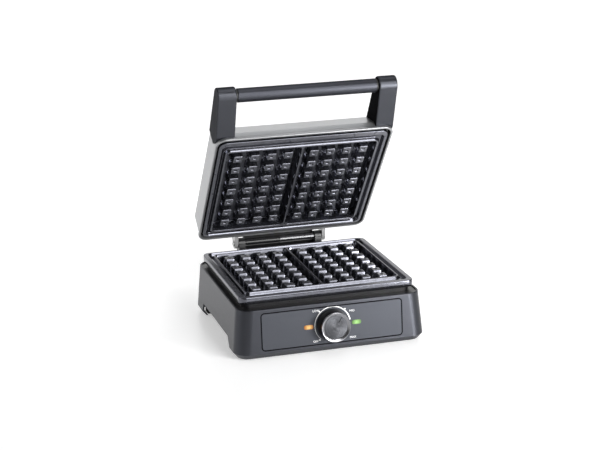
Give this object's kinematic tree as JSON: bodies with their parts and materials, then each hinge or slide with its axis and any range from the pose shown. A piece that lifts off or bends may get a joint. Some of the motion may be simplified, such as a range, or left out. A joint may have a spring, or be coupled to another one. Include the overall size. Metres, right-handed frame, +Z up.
{
  "type": "waffle maker",
  "caption": "Electric waffle maker for rectangular waffles: tapered base with a thermostat knob and lamps, hinged lid with a tube handle, patterned non-stick plates.",
  "frame": {"origin": "on the surface it stands on, below the middle of its outline with the lid standing open", "axes": "+X to the user's right, -Y towards the user, +Z up"},
  "size_m": [0.271, 0.2938, 0.3534],
  "materials": {
    "anthracite_shell": "satin metallic paint on moulded plastic",
    "anthracite_panel": "satin metallic paint on moulded plastic",
    "black_deck": "satin black, heat-resistant plastic",
    "bottom_sheet": "grey-black powder coat",
    "foot_rubber": "matt",
    "nonstick_casting": "glossy black non-stick coating on cast aluminium",
    "element_steel": "heat-tinted steel tube",
    "reflector_sheet": "bright aluminium sheet",
    "screw_steel": "zinc-plated steel",
    "black_screw_steel": "blackened steel",
    "lid_metal": "light grey satin pressed aluminium",
    "lid_frame_black": "satin black, heat-resistant plastic",
    "insulation_wool": "ceramic wool",
    "handle_dark": "satin charcoal",
    "grip_dark": "satin charcoal tube",
    "collar_black": "satin black",
    "bracket_black": "satin black paint on cast metal",
    "ear_grey": "light grey satin casting",
    "rod_steel": "bright turned steel",
    "sleeve_black": "satin black tube",
    "sleeve_steel": "bright steel tube",
    "washer_black": "friction washer",
    "knob_black": "satin black",
    "knob_chrome": "bright bevelled ring",
    "knob_cap_grey": "brushed grey disc",
    "lens_orange": "lit orange window",
    "lens_green": "lit green window",
    "lamp_glass": "indicator lamp",
    "thermostat_case": "ceramic-coloured case",
    "terminal_white": "terminal block",
    "fuse_metal": "metal can with leads",
    "lead_white": "silicone insulated lead",
    "gland_black": "matt black"
  },
  "bodies": {
    "base": {"base_housing": "anthracite_shell", "top_deck": "black_deck", "control_panel": "anthracite_panel", "bottom_cover": "bottom_sheet", "bottom_cover_screws": "screw_steel", "foot_front_left": "foot_rubber", "foot_front_right": "foot_rubber", "foot_rear_left": "foot_rubber", "foot_rear_right": "foot_rubber", "cord_gland": "gland_black", "gland_nut": "gland_black", "thermostat_body": "thermostat_case", "thermostat_nut": "screw_steel", "lamp_lens_orange": "lens_orange", "lamp_lens_green": "lens_green", "lamp_orange": "lamp_glass", "lamp_green": "lamp_glass", "terminal_block": "terminal_white", "thermal_fuse": "fuse_metal", "lead_thermostat": "lead_white", "lead_element": "lead_white", "lead_lamps": "lead_white", "lower_plate": "nonstick_casting", "lower_heating_element": "element_steel", "lower_reflector": "reflector_sheet", "lower_plate_screws": "screw_steel", "hinge_bracket_left": "bracket_black", "hinge_bracket_right": "bracket_black", "hinge_bridge": "bracket_black", "bracket_screws": "black_screw_steel"},
    "lid": {"lid_cover": "lid_metal", "lid_frame": "lid_frame_black", "lid_insulation": "insulation_wool", "upper_plate": "nonstick_casting", "upper_heating_element": "element_steel", "upper_reflector": "reflector_sheet", "upper_plate_screws": "screw_steel", "lid_ear_left": "ear_grey", "lid_ear_right": "ear_grey", "ear_screws": "screw_steel", "hinge_rod": "rod_steel", "hinge_sleeve_black": "sleeve_black", "hinge_sleeve_steel": "sleeve_steel", "friction_washers": "washer_black", "lid_supply_lead": "lead_white", "handle_arm_left": "handle_dark", "handle_arm_right": "handle_dark", "handle_grip": "grip_dark", "handle_collars": "collar_black", "handle_core_rod": "rod_steel", "handle_screws": "screw_steel"},
    "knob": {"thermostat_shaft": "rod_steel", "knob_barrel": "knob_black", "knob_ring": "knob_chrome", "knob_cap": "knob_cap_grey"}
  },
  "joints": [
    {"name": "lid_hinge", "type": "hinge", "parent": "base", "child": "lid", "pos_m": [0, 0.13135, 0.0858], "axis": [-1, 0, 0], "range_deg": [-52, 53]},
    {"name": "thermostat_turn", "type": "hinge", "parent": "base", "child": "knob", "pos_m": [0, -0.12859, 0.0385], "axis": [0, 0.9973, -0.0739], "range_deg": [-174, 108]}
  ]
}
